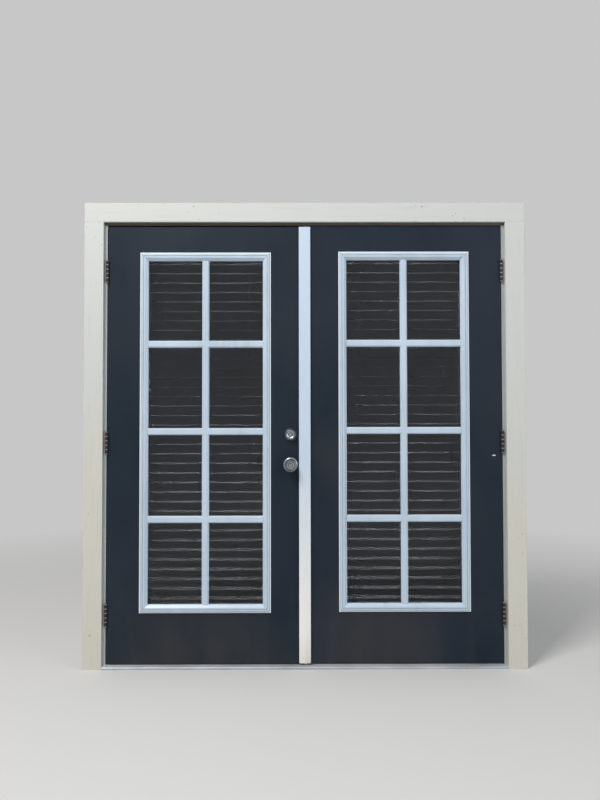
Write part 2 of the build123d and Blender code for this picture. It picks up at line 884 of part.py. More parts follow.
# Blinds on the inner faces of the leaves


def blind_places(bottom):
    """Heights of the headrail's underside and of the bottom rail's top, and the slats' middle."""
    frame_bottom = bottom + lite_bottom_rail
    frame_top = frame_bottom + lite_frame_height
    middle_y = leaf_inner_y + lite_frame_rise + blind_offset + slat_depth / 2
    return frame_top + headrail_lift, frame_bottom - bottom_rail_height, middle_y


def headrail(x, bottom):
    """A folded channel open at the top, with the two brackets that hold it to the leaf."""
    rail_z, _, mid_y = blind_places(bottom)
    y0 = mid_y - headrail_depth / 2
    y1 = mid_y + headrail_depth / 2
    half = blind_width / 2
    rail = block(x - half, x + half, y0, y1, rail_z, rail_z + headrail_height)
    wall = headrail_wall
    rail -= block(
        x - half + wall,
        x + half - wall,
        y0 + wall,
        y1 - wall,
        rail_z + wall,
        rail_z + headrail_height,
    )
    for side in (-1, 1):
        cx = x + side * (half - bracket_inset)
        rail += block(
            cx - bracket_width / 2,
            cx + bracket_width / 2,
            leaf_inner_y,
            y0 + wall,
            rail_z + headrail_height - bracket_width,
            rail_z + headrail_height - bracket_width + bracket_thickness,
        )
        rail += block(
            cx - bracket_width / 2,
            cx + bracket_width / 2,
            leaf_inner_y,
            leaf_inner_y + bracket_thickness,
            rail_z + headrail_height - bracket_width,
            rail_z + headrail_height + bracket_width / 2,
        )
    return rail


def bottom_rail(x, bottom):
    _, rail_z, mid_y = blind_places(bottom)
    half = blind_width / 2
    half_depth = slat_depth / 2 - ladder_bite
    rail = block(
        x - half,
        x + half,
        mid_y - half_depth,
        mid_y + half_depth,
        rail_z,
        rail_z + bottom_rail_height,
    )
    return chamfer(rail.edges().filter_by(Axis.X), bottom_rail_chamfer)


def slat_section():
    half = slat_depth / 2
    thick = slat_thickness / 2
    return [
        (-half, -thick + slat_bevel),
        (-half + slat_bevel, -thick),
        (half - slat_bevel, -thick),
        (half, -thick + slat_bevel),
        (half, thick - slat_bevel),
        (half - slat_bevel, thick),
        (-half + slat_bevel, thick),
        (-half, thick - slat_bevel),
    ]


def slats(x, bottom):
    """The tilted slats and the ladder strings that carry them from headrail to bottom rail."""
    head, low_rail, mid_y = blind_places(bottom)
    low = low_rail + bottom_rail_height
    half = blind_width / 2
    slat = along_x(slat_section(), x - half, x + half)
    slat = Rot(slat_tilt, 0, 0) * slat
    count = int((head - low) // slat_pitch)
    rise = (head - low) / (count + 1)
    pieces = [Pos(0, mid_y, low + (i + 1) * rise) * slat for i in range(count)]
    for side in (-1, 1):
        for edge in (-1, 1):
            y = mid_y + edge * (slat_depth / 2 - ladder_bite + ladder_thickness / 2)
            cx = x + side * ladder_spacing / 2
            t = ladder_thickness / 2
            end = low - bottom_rail_height / 2
            pieces.append(block(cx - t, cx + t, y - t, y + t, end, head))
    return pieces[0].fuse(*pieces[1:])


def cords(word, x, bottom):
    """The cords and tassels of one blind. A tassel leans against the slats, so its cord slants."""
    head, _, mid_y = blind_places(bottom)
    top_y = mid_y + headrail_depth / 2 - cord_setback
    tassel_y = mid_y + slat_depth / 2 + tassel_clearance + tassel_radius
    half = tassel_length / 2
    outline = Polyline(
        (0, half),
        (tassel_neck_radius, half),
        (tassel_shoulder_radius, 0),
        (tassel_radius, tassel_foot - half),
        (tassel_radius, -half),
        (0, -half),
        close=True,
    )
    tassel = revolve(make_face(Plane.XZ * outline), axis=Axis.Z)
    pieces = []
    for end, inset, drop in blind_cords[word]:
        cord_x = x + end * (blind_width / 2 - inset)
        top = Vector(cord_x, top_y, head)
        low = Vector(cord_x, tassel_y, head - drop + half)
        run = low - top
        section = Pos(*top) * Circle(cord_diameter / 2)
        pieces.append(extrude(section, amount=run.length, dir=run.normalized()))
        pieces.append(Pos(cord_x, tassel_y, head - drop) * tassel)
    return Compound(pieces)


# Writing every piece

write("left_jamb", jamb(-1))
write("right_jamb", jamb(1))
write("head_jamb", head_jamb())
write("threshold", threshold())
write("left_casing", side_casing(-1))
write("right_casing", side_casing(1))
write("head_casing", head_casing())
write("left_weatherstrip", side_seal(-1))
write("right_weatherstrip", side_seal(1))
write("head_weatherstrip", head_seal())

pins = []
for side, word, bottom in ((-1, "left", left_leaf_bottom), (1, "right", right_leaf_bottom)):
    center_x = side * leaf_center_x
    center_z = bottom + lite_center_rise
    for place, height in hinge_heights.items():
        z = hinge_z(side, height)
        write(f"{word}_{place}_hinge_jamb_plate", hinge_plate(side, z, False))
        write(f"{word}_{place}_hinge_leaf_plate", hinge_plate(side, z, True))
        pins.append(hinge_pin(side, z))
    write(f"{word}_outer_lite_frame", on_leaf(lite_frame(False), center_x, center_z, -1))
    write(f"{word}_inner_lite_frame", on_leaf(lite_frame(True), center_x, center_z, 1))
    write(f"{word}_outer_grille", on_leaf(grille(bar_end_clearance), center_x, center_z, -1))
    write(f"{word}_glass", glass_unit(center_x, center_z))
    write(f"{word}_sweep", door_sweep(side, bottom))
    write(f"{word}_blind_headrail", headrail(center_x, bottom))
    write(f"{word}_blind_slats", slats(center_x, bottom))
    write(f"{word}_blind_bottom_rail", bottom_rail(center_x, bottom))
    write(f"{word}_blind_cords", cords(word, center_x, bottom))
write("hinge_pins", Compound(pins))

write("left_leaf", left_leaf())
write("right_leaf", right_leaf())
write("astragal", astragal())

knob_z, bolt_z = lock_heights()
write("outer_rose", rose(knob_z, -1))
write("inner_rose", rose(knob_z, 1))
write("outer_knob", knob(knob_z, -1))
write("inner_knob", knob(knob_z, 1))
write("latch_case", bolt_case(knob_z, latch_width, latch_height))
write("latch_bolt", latch_bolt(knob_z))
write("deadbolt_collar", deadbolt_collar(bolt_z))
write("key_plug", key_plug(bolt_z))
write("thumbturn_plate", thumbturn_plate(bolt_z))
write("thumbturn", thumbturn(bolt_z))
write("deadbolt_case", bolt_case(bolt_z, deadbolt_width, deadbolt_height))
write("dead_bolt", dead_bolt(bolt_z))
for name, (z, pocket) in pockets().items():
    write(name, strike_plate(z, pocket))
for name, z, up in flush_bolts():
    write(name, flush_bolt(z, up))
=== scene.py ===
import bpy
import bmesh
from math import cos, pi, radians, sin
from mathutils import Matrix, Vector


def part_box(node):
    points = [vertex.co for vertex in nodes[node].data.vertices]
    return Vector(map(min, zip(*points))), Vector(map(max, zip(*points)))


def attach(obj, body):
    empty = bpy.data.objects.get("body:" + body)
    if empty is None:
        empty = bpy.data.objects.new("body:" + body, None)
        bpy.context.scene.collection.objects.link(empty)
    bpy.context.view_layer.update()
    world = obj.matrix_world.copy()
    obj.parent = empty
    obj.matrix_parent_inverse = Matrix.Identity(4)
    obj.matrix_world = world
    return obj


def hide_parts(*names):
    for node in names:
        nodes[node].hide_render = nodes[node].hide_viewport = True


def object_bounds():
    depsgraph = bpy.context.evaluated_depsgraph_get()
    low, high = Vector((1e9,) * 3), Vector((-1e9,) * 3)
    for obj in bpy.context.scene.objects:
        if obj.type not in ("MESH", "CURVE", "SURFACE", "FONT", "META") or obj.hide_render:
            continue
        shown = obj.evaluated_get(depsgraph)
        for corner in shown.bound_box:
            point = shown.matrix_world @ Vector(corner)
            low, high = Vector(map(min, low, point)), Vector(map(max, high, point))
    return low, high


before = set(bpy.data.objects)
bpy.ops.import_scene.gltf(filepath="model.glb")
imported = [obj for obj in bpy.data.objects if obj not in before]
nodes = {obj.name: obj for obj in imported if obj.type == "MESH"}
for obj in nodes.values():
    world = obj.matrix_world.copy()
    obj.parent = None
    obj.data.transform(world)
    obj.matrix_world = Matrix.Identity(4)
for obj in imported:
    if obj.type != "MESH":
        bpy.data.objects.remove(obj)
cadBox = [list(corner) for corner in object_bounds()]
scene = bpy.context.scene
scene.view_settings.view_transform = "Standard"
print("frame loaded,", len(nodes), "nodes")

sides = ("left", "right")
hingeLevels = ("lower", "middle", "upper")
weldDistance = 0.000001
sharpAngle = 35  # degrees between two faces, past which their edge stays sharp
toDress = []  # pieces and the finish that each one takes, once the materials are made


def middleOf(node):
    low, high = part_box(node)
    return (low + high) / 2


# Camera, at the photograph's place
view = {
    "place": (-0.0335, -3.3241, 1.1539),
    "yaw": 0.0035,  # radians, towards +X
    "pitch": 0.026,  # radians, upwards
    "roll": -0.0013,
    "focalPixels": 700,
    "frameHeight": 800,  # pixels
    "sensor": 36.0,  # the long side, which is the height here
    "farClip": 200,
}


def addCamera():
    data = bpy.data.cameras.new("camera")
    data.sensor_width = view["sensor"]
    data.lens = view["focalPixels"] / view["frameHeight"] * data.sensor_width
    data.clip_end = view["farClip"]
    camera = bpy.data.objects.new("camera", data)
    scene.collection.objects.link(camera)
    turn = Matrix.Rotation(-view["yaw"], 4, "Z") @ Matrix.Rotation(pi / 2 + view["pitch"], 4, "X")
    turn = turn @ Matrix.Rotation(view["roll"], 4, "Z")
    camera.matrix_world = Matrix.Translation(view["place"]) @ turn
    scene.camera = camera


addCamera()


def finishPiece(mesh, name, finish, body, smooth=True):
    # Turns a bmesh into a piece that rides on a body of the frame
    bmesh.ops.remove_doubles(mesh, verts=mesh.verts[:], dist=weldDistance)
    bmesh.ops.recalc_face_normals(mesh, faces=mesh.faces[:])
    data = bpy.data.meshes.new(name)
    mesh.to_mesh(data)
    mesh.free()
    for face in data.polygons:
        face.use_smooth = smooth
    if smooth:
        data.set_sharp_from_angle(angle=radians(sharpAngle))
    piece = bpy.data.objects.new(name, data)
    scene.collection.objects.link(piece)
    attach(piece, body)
    toDress.append((piece, finish))
    return piece


# Blind cords: each hangs from the headrail by its tassel's weight
blindCords = {
    "diameter": 0.0016,
    "topY": 0.055,  # at the headrail's underside
    "tasselY": 0.0603,  # where the tassel leans on the slats
    "tasselHalf": 0.014,
    "tasselSteps": 24,
    "wander": 0.0006,  # how far a cord strays from straight
    # Share of the way down, and share of the wander to one side
    "bends": ((0.03, 0.0), (0.3, 0.8), (0.55, -1.0), (0.8, 0.6), (0.97, 0.0)),
    # X of each cord and its drop to the tassel's middle
    "left": ((-0.72625, 1.001), (-0.71225, 1.008), (-0.20525, 1.015), (-0.21925, 0.983)),
    "right": ((0.20525, 1.359), (0.21925, 1.321), (0.71225, 0.985), (0.72625, 1.030)),
}

# The tassel's outline from its neck to the hollow in its foot: radius and height in millimetres
tasselOutline = (
    (0.9, 14.0), (1.7, 14.0), (2.2, 13.3), (2.35, 11.0),
    (2.8, 6.5), (3.5, 2.2), (4.1, -1.2), (5.2, -5.6),
    (6.1, -8.8), (6.5, -10.8), (6.5, -12.4), (6.15, -13.6),
    (5.4, -14.0), (4.6, -13.8), (3.9, -12.6), (0.0, -12.2),
)


def addTassel(name, body, spot):
    mesh = bmesh.new()
    corners = [mesh.verts.new((radius / 1000, 0, height / 1000)) for radius, height in tasselOutline]
    edges = [mesh.edges.new(pair) for pair in zip(corners, corners[1:])]
    bmesh.ops.spin(
        mesh,
        geom=corners + edges,
        cent=(0, 0, 0),
        axis=(0, 0, 1),
        angle=2 * pi,
        steps=blindCords["tasselSteps"],
        use_merge=True,
    )
    bmesh.ops.remove_doubles(mesh, verts=mesh.verts[:], dist=weldDistance)
    rim = [edge for edge in mesh.edges if edge.is_boundary]
    bmesh.ops.holes_fill(mesh, edges=rim, sides=0)
    bmesh.ops.translate(mesh, verts=mesh.verts[:], vec=spot)
    return finishPiece(mesh, name, "tassel", body)


def addCord(name, word, number, x, drop):
    body = word + "_door"
    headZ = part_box(word + "_blind_headrail")[0].z
    top = Vector((x, blindCords["topY"], headZ))
    low = Vector((x, blindCords["tasselY"], headZ - drop + blindCords["tasselHalf"]))
    stray = blindCords["wander"] * (1 if number % 2 else -1)
    route = [top]
    for share, side in blindCords["bends"]:
        route.append(top.lerp(low, share) + Vector((stray * side, 0, 0)))
    route.append(low)
    data = bpy.data.curves.new(name, "CURVE")
    data.dimensions = "3D"
    data.bevel_depth = 1.0  # times each point's radius
    data.bevel_resolution = 3
    data.use_fill_caps = True
    data.resolution_u = 8
    spline = data.splines.new("NURBS")
    spline.points.add(len(route) - 1)
    for point, spot in zip(spline.points, route):
        point.co = (*spot, 1)
        point.radius = blindCords["diameter"] / 2
    spline.order_u = 3
    spline.use_endpoint_u = True
    piece = bpy.data.objects.new(name, data)
    scene.collection.objects.link(piece)
    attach(piece, body)
    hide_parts(word + "_blind_cords")
    toDress.append((piece, "cord"))
    tasselSpot = (x, blindCords["tasselY"], headZ - drop)
    tassel = addTassel(name.replace("Cord", "Tassel"), body, tasselSpot)
    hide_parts(word + "_blind_cords")


for word in sides:
    for number, (x, drop) in enumerate(blindCords[word]):
        addCord(f"{word}Cord{number + 1}", word, number, x, drop)
print("cords hung:", len(blindCords["left"]) + len(blindCords["right"]))


def addCopy(mesh, shape, matrix):
    # Adds one small shape to a bmesh at its place
    bmesh.ops.transform(shape, matrix=matrix, verts=shape.verts[:])
    data = bpy.data.meshes.new("part")
    shape.to_mesh(data)
    shape.free()
    mesh.from_mesh(data)
    bpy.data.meshes.remove(data)


def facingMatrix(spot, facing, turn=0.0):
    turned = Vector(facing).to_track_quat("Z", "Y").to_matrix().to_4x4()
    return Matrix.Translation(spot) @ turned @ Matrix.Rotation(turn, 4, "Z")


# A screw head, in shares of its radius and of how far it stands proud
screwShape = {
    "segments": 20,
    "topRadius": 0.88,
    "arm": 0.56,
    "halfWidth": 0.13,
    "recess": 0.8,
    "recessTaper": 0.8,
    "firstTurn": 23,  # degrees
    "turnStep": 47,  # degrees from one screw to the next
}


def facesUp(face):
    return face.normal.z > 0.9


def screwHead(radius, proud):
    # A flat head with a cross recess, on the origin and facing up
    head = bmesh.new()
    bmesh.ops.create_cone(
        head,
        cap_ends=True,
        segments=screwShape["segments"],
        radius1=radius,
        radius2=radius * screwShape["topRadius"],
        depth=proud,
    )
    bmesh.ops.translate(head, verts=head.verts[:], vec=(0, 0, proud / 2))
    arm, half = radius * screwShape["arm"], radius * screwShape["halfWidth"]
    for axis in (Vector((1, 0, 0)), Vector((0, 1, 0))):
        for offset in (-arm, -half, half, arm):
            head.normal_update()
            faces = [face for face in head.faces if facesUp(face)]
            edges = {edge for face in faces for edge in face.edges}
            corners = {corner for face in faces for corner in face.verts}
            bmesh.ops.bisect_plane(
                head, geom=[*faces, *edges, *corners], plane_co=axis * offset, plane_no=axis
            )
    head.normal_update()
    cross = []
    for face in head.faces:
        middle = face.calc_center_median()
        across, along = sorted((abs(middle.x), abs(middle.y)))
        if facesUp(face) and across < half and along < arm:
            cross.append(face)
    sunk = bmesh.ops.extrude_face_region(head, geom=cross)["geom"]
    corners = [part for part in sunk if isinstance(part, bmesh.types.BMVert)]
    bmesh.ops.translate(head, verts=corners, vec=(0, 0, -proud * screwShape["recess"]))
    taper = screwShape["recessTaper"]
    bmesh.ops.scale(head, verts=corners, vec=(taper, taper, 1))
    return head


def addScrews(name, body, finish, spots, facing, size):
    radius, proud = size
    mesh = bmesh.new()
    for number, spot in enumerate(spots):
        turn = radians(screwShape["firstTurn"] + screwShape["turnStep"] * number)
        addCopy(mesh, screwHead(radius, proud), facingMatrix(spot, facing, turn))
    finishPiece(mesh, name, finish, body, smooth=False)


# Hinge screws, four in each plate, seen when a leaf is open
hingeScrews = {
    "size": (0.0042, 0.0006),  # radius, and how far the head stands proud
    "rows": (-0.0505, -0.0375),  # Y of the row nearer the pin, and of the other one
    "heights": (-0.039, -0.013, 0.013, 0.039),  # from the hinge's middle
}


def hingeSpots(word, half, x):
    spots = []
    for level in hingeLevels:
        middle = middleOf(f"{word}_{level}_hinge_{half}_plate").z
        for number, height in enumerate(hingeScrews["heights"]):
            spots.append(Vector((x, hingeScrews["rows"][number % 2], middle + height)))
    return spots


for word, side in (("left", -1), ("right", 1)):
    outer = 0 if side < 0 else 1
    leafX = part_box(word + "_leaf")[outer].x
    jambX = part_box(word + "_weatherstrip")[outer].x
    for half, body, x, facing in (("leaf", word + "_door", leafX, side), ("jamb", "frame", jambX, -side)):
        addScrews(
            f"{word}{half.capitalize()}HingeScrews",
            body,
            "screw",
            hingeSpots(word, half, x),
            (facing, 0, 0),
            hingeScrews["size"],
        )

# Screws in the lock's face plates, strikes, thumb plate, threshold and blind brackets
lockScrews = {
    "size": (0.0036, 0.0007),
    "caseReach": 0.0225,  # from the bolt's middle
    "strikeReach": 0.027,
    "thumbReach": 0.021,
    "thumbRise": 0.008,  # the plate's face over the leaf's
}
sillScrews = {
    "size": (0.0042, 0.0005),
    "y": -0.0145,
    "drop": 0.004,  # from the leaf's foot to the tread
    "at": (-0.80, -0.27, 0.27, 0.80),
}
bracketScrews = {
    "size": (0.0033, 0.0008),
    "y": -0.0115,
    "reach": 0.26,  # from the headrail's middle to each bracket's
    "spread": 0.006,
    "drop": 0.006,  # from the headrail's top
}


def pairAbove(spot, reach):
    return [spot + Vector((0, 0, reach)), spot - Vector((0, 0, reach))]


caseSpots, strikeSpots = [], []
for bolt, strike in (("latch_case", "latch_strike"), ("deadbolt_case", "deadbolt_strike")):
    middle = middleOf(strike)
    caseSpots += pairAbove(Vector((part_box(bolt)[1].x, middle.y, middle.z)), lockScrews["caseReach"])
    strikeSpots += pairAbove(Vector((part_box(strike)[0].x, middle.y, middle.z)), lockScrews["strikeReach"])
size = lockScrews["size"]
addScrews("caseScrews", "left_door", "bolt", caseSpots, (1, 0, 0), size)
addScrews("strikeScrews", "right_door", "bolt", strikeSpots, (-1, 0, 0), size)
thumb = middleOf("thumbturn_plate")
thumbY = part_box("left_leaf")[1].y + lockScrews["thumbRise"]
thumbReach = lockScrews["thumbReach"]
thumbSpots = [Vector((thumb.x + reach, thumbY, thumb.z)) for reach in (-thumbReach, thumbReach)]
addScrews("thumbPlateScrews", "left_door", "bolt", thumbSpots, (0, 1, 0), size)
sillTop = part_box("left_leaf")[0].z - sillScrews["drop"]
sillSpots = [Vector((x, sillScrews["y"], sillTop)) for x in sillScrews["at"]]
addScrews("sillScrews", "frame", "bolt", sillSpots, (0, 0, 1), sillScrews["size"])
reach, spread, size = bracketScrews["reach"], bracketScrews["spread"], bracketScrews["size"]
for word in sides:
    middle = middleOf(word + "_blind_headrail")
    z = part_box(word + "_blind_headrail")[1].z - bracketScrews["drop"]
    spots = [
        Vector((middle.x + side * reach + step * spread, bracketScrews["y"], z))
        for side in (-1, 1)
        for step in (-1, 1)
    ]
    addScrews(word + "BracketScrews", word + "_door", "bolt", spots, (0, 1, 0), size)

# Caps over the screws that hold each inner lite frame
liteCaps = {
    "radius": 0.0027,
    "proud": 0.0008,
    "inset": 0.0215,  # from the frame's outer edge
    "heights": (-0.74, -0.37, 0.0, 0.37, 0.74),
    "widths": (-0.17, 0.17),
}


# A cap or nail head, in shares of how far it stands proud
capShape = {"segments": 18, "rimFrom": 0.9, "bevel": 0.7, "bevelSegments": 3}


def roundCap(radius, proud):
    cap = bmesh.new()
    bmesh.ops.create_cone(
        cap, cap_ends=True, segments=capShape["segments"], radius1=radius, radius2=radius, depth=proud
    )
    bmesh.ops.translate(cap, verts=cap.verts[:], vec=(0, 0, proud / 2))
    rimZ = proud * capShape["rimFrom"]
    bmesh.ops.bevel(
        cap,
        geom=[edge for edge in cap.edges if all(corner.co.z > rimZ for corner in edge.verts)],
        offset=proud * capShape["bevel"],
        segments=capShape["bevelSegments"],
        profile=0.5,
        affect="EDGES",
        material=-1,
    )
    return cap


for word in sides:
    low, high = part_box(word + "_inner_lite_frame")
    middle = (low + high) / 2
    inset = liteCaps["inset"]
    spots = [(x, high.y, middle.z + z) for x in (low.x + inset, high.x - inset) for z in liteCaps["heights"]]
    spots += [(middle.x + x, high.y, z) for z in (low.z + inset, high.z - inset) for x in liteCaps["widths"]]
    mesh = bmesh.new()
    for spot in spots:
        cap = roundCap(liteCaps["radius"], liteCaps["proud"])
        addCopy(mesh, cap, facingMatrix(Vector(spot), (0, 1, 0)))
    finishPiece(mesh, word + "LiteCaps", word + "Lite", word + "_door")

# Painted nail heads in the casing boards, and a few odd ones by the right middle hinge
casingNails = {
    "radius": 0.0024,
    "proud": 0.0006,
    "sideX": (0.957, 1.006),
    "sideZ": (0.12, 0.56, 1.10, 1.54, 1.98),
    "headX": (-0.90, -0.45, 0.0, 0.45, 0.90),
    "headZ": (2.092, 2.141),
    "odd": (
        (-1.004, 0.21),
        (0.969, 1.006),
        (1.013, 0.979),
        (0.961, 0.937),
        (0.992, 0.932),
        (0.977, 0.856),
        (0.971, 0.728),
    ),
}
spots = [(side * x, z) for side in (-1, 1) for x in casingNails["sideX"] for z in casingNails["sideZ"]]
spots += [(x, z) for x in casingNails["headX"] for z in casingNails["headZ"]]
spots += casingNails["odd"]
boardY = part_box("head_casing")[0].y
mesh = bmesh.new()
for x, z in spots:
    head = roundCap(casingNails["radius"], casingNails["proud"])
    addCopy(mesh, head, facingMatrix(Vector((x, boardY, z)), (0, -1, 0)))
finishPiece(mesh, "casingNails", "sideBoard", "frame")

# Rungs that carry each slat between its ladder strings
rungs = {
    "count": 36,
    "tilt": 4.0,  # degrees, as the slats
    "length": 0.0496,
    "radius": 0.0006,
    "segments": 6,
    "drop": 0.0021,  # under the slat's middle
    "spread": 0.0013,
    "ladderReach": 0.199,
}

for word in sides:
    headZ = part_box(word + "_blind_headrail")[0].z
    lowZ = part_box(word + "_blind_bottom_rail")[1].z
    middle = middleOf(word + "_blind_slats")
    run = Vector((0, cos(radians(rungs["tilt"])), sin(radians(rungs["tilt"]))))
    down = Vector((0, run.z, -run.y)) * rungs["drop"]
    rise = (headZ - lowZ) / (rungs["count"] + 1)
    mesh = bmesh.new()
    for number in range(rungs["count"]):
        for side in (-1, 1):
            for step in (-1, 1):
                rung = bmesh.new()
                bmesh.ops.create_cone(
                    rung,
                    cap_ends=True,
                    segments=rungs["segments"],
                    radius1=rungs["radius"],
                    radius2=rungs["radius"],
                    depth=rungs["length"],
                )
                x = middle.x + side * rungs["ladderReach"] + step * rungs["spread"]
                spot = Vector((x, middle.y, lowZ + (number + 1) * rise)) + down
                addCopy(mesh, rung, facingMatrix(spot, run))
    finishPiece(mesh, word + "LadderRungs", "cord", word + "_door")

# The keyway in the outer knob's core: a thin dark plate, painted shade where the real slot is a hollow
keyway = {
    "width": 0.0017,
    "height": 0.0085,
    "thick": 0.0003,
    "corner": 0.0006,
    "setback": 0.0005,  # from the knob's front
}
low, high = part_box("outer_knob")
mesh = bmesh.new()
bmesh.ops.create_cube(mesh, size=1.0)
bmesh.ops.scale(mesh, verts=mesh.verts[:], vec=(keyway["width"], keyway["thick"], keyway["height"]))
upright = [edge for edge in mesh.edges if abs(edge.verts[0].co.y - edge.verts[1].co.y) > keyway["thick"] / 2]
bmesh.ops.bevel(
    mesh, geom=upright, offset=keyway["corner"], segments=3, profile=0.5, affect="EDGES", material=-1
)
knob = (low + high) / 2
bmesh.ops.translate(mesh, verts=mesh.verts[:], vec=(knob.x, low.y + keyway["setback"], knob.z))
finishPiece(mesh, "knobKeywayShade", "seal", "knob", smooth=False)
print("small pieces made:", len(toDress))

# Node helpers for the materials


def startMaterial(name, color, roughness, metallic=0.0):
    material = bpy.data.materials.new(name)
    material.use_nodes = True
    shader = material.node_tree.nodes["Principled BSDF"]
    shader.inputs["Base Color"].default_value = (*color, 1)
    shader.inputs["Roughness"].default_value = roughness
    shader.inputs["Metallic"].default_value = metallic
    return material, material.node_tree, shader


def addNode(tree, kind, inputs=(), **settings):
    node = tree.nodes.new(kind)
    for key, value in settings.items():
        setattr(node, key, value)
    for key, value in dict(inputs).items():
        if isinstance(value, bpy.types.NodeSocket):
            tree.links.new(value, node.inputs[key])
        else:
            node.inputs[key].default_value = value
    return node


def place(tree, scale=(1, 1, 1), shift=(0, 0, 0), turn=(0, 0, 0)):
    # Object coordinates, stretched: a small number makes the pattern long along that axis
    coords = addNode(tree, "ShaderNodeTexCoord").outputs["Object"]
    settings = {"Vector": coords, "Location": shift, "Rotation": turn, "Scale": scale}
    return addNode(tree, "ShaderNodeMapping", settings).outputs["Vector"]


def noise(tree, vector, scale, detail=4.0, rough=0.55):
    settings = {"Vector": vector, "Scale": scale, "Detail": detail, "Roughness": rough}
    return addNode(tree, "ShaderNodeTexNoise", settings).outputs["Fac"]


def ramp(tree, value, *stops):
    # Each stop is a place and a colour or a grey
    node = addNode(tree, "ShaderNodeValToRGB", {"Fac": value})
    elements = node.color_ramp.elements
    while len(elements) < len(stops):
        elements.new(0.5)
    for element, (position, color) in zip(elements, stops):
        element.position = position
        element.color = (*color, 1) if hasattr(color, "__len__") else (color, color, color, 1)
    return node.outputs["Color"]


def compute(tree, operation, a, b=0.0, clamp=False):
    return addNode(
        tree, "ShaderNodeMath", {0: a, 1: b}, operation=operation, use_clamp=clamp
    ).outputs["Value"]


def vectorMath(tree, operation, a, b=(0, 0, 0)):
    node = addNode(tree, "ShaderNodeVectorMath", {0: a, 1: b}, operation=operation)
    return node.outputs["Value" if operation == "LENGTH" else "Vector"]


def mix(tree, factor, a, b):
    node = addNode(tree, "ShaderNodeMix", {"Factor": factor}, data_type="RGBA", blend_type="MIX")
    for socket, value in ((node.inputs[6], a), (node.inputs[7], b)):
        if isinstance(value, bpy.types.NodeSocket):
            tree.links.new(value, socket)
        else:
            socket.default_value = (*value, 1)
    return node.outputs[2]


def axisOf(tree, vector, axis):
    return addNode(tree, "ShaderNodeSeparateXYZ", {"Vector": vector}).outputs[axis]


def bump(tree, shader, height, strength, distance):
    settings = {"Height": height, "Strength": strength, "Distance": distance}
    node = addNode(tree, "ShaderNodeBump", settings)
    tree.links.new(node.outputs["Normal"], shader.inputs["Normal"])


def paint(tree, shader, color, roughness=None):
    tree.links.new(color, shader.inputs["Base Color"])
    if roughness is not None:
        tree.links.new(roughness, shader.inputs["Roughness"])


# Materials

leafLook = {
    "navy": (0.0080, 0.0152, 0.0272),
    "slate": (0.0140, 0.0220, 0.0335),
    "sunPatch": (0.0290, 0.0315, 0.0370),  # broad paler patches, painted sunlight on the lower face
    "dust": (0.075, 0.076, 0.074),
    "lowZ": 0.02,
    "dustTop": 0.40,
    "chip": (0.62, 0.63, 0.62),  # one fleck of bare primer on the right leaf
    "chipAt": (0.882, -0.058, 0.980),
    "chipSize": (0.011, 0.010, 0.0032),
    "chipReach": 1.35,  # of its size, with its ragged edge
    "sheen": 0.17,
}


def leafPaint():
    material, tree, shader = startMaterial("leafPaint", leafLook["navy"], 0.45)
    shader.inputs["Specular IOR Level"].default_value = leafLook["sheen"]
    soft = noise(tree, place(tree, (1.2, 1.2, 0.6)), 2.4, 5)
    base = ramp(tree, soft, (0.36, leafLook["navy"]), (0.66, leafLook["slate"]))
    # Painted light: broad paler patches, more towards the bottom, stand in for sunlight on the face
    patches = noise(tree, place(tree, (1, 1, 0.9), shift=(1.8, 0, 0.3)), 1.5, 3, 0.45)
    height = axisOf(tree, place(tree), "Z")
    share = compute(tree, "MULTIPLY", height, 0.5)
    sunPatchShare = ramp(tree, share, (0.05, 0.85), (0.45, 0.6), (0.85, 0.12))
    sunPatchShare = compute(tree, "MULTIPLY", sunPatchShare, ramp(tree, patches, (0.45, 0.0), (0.64, 1.0)))
    base = mix(tree, sunPatchShare, base, leafLook["sunPatch"])
    # Dust that rain has drawn down the face, thicker near the bottom
    streaks = noise(tree, place(tree, (11, 11, 1.6)), 1.0, 7, 0.6)
    low = ramp(tree, height, (leafLook["lowZ"], 0.16), (leafLook["dustTop"], 0.05), (1.0, 0.0))
    dust = compute(tree, "MULTIPLY", ramp(tree, streaks, (0.46, 0.0), (0.76, 1.0)), low)
    color = mix(tree, dust, base, leafLook["dust"])
    offset = vectorMath(tree, "SUBTRACT", place(tree), leafLook["chipAt"])
    away = vectorMath(tree, "LENGTH", vectorMath(tree, "DIVIDE", offset, leafLook["chipSize"]))
    ragged = compute(tree, "MULTIPLY", noise(tree, place(tree), 260, 4), 1.1)
    chip = compute(tree, "LESS_THAN", compute(tree, "ADD", away, ragged), leafLook["chipReach"])
    color = mix(tree, chip, color, leafLook["chip"])
    orangePeel = noise(tree, place(tree), 420, 3, 0.5)
    rough = ramp(tree, noise(tree, place(tree, (1, 1, 0.4)), 9, 5), (0.3, 0.38), (0.75, 0.54))
    paint(tree, shader, color, rough)
    bump(tree, shader, orangePeel, 0.16, 0.0006)
    return material


boardLook = {
    "cream": (0.575, 0.560, 0.495),
    "pale": (0.540, 0.556, 0.542),
    "brushMark": (0.46, 0.44, 0.375),
    "chip": (0.09, 0.062, 0.04),
    "sheen": 0.3,
}


def woodGrain(tree, along):
    stretch = (3, 60, 60) if along == "X" else (60, 60, 3)
    return noise(tree, place(tree, stretch), 1.6, 8, 0.62)


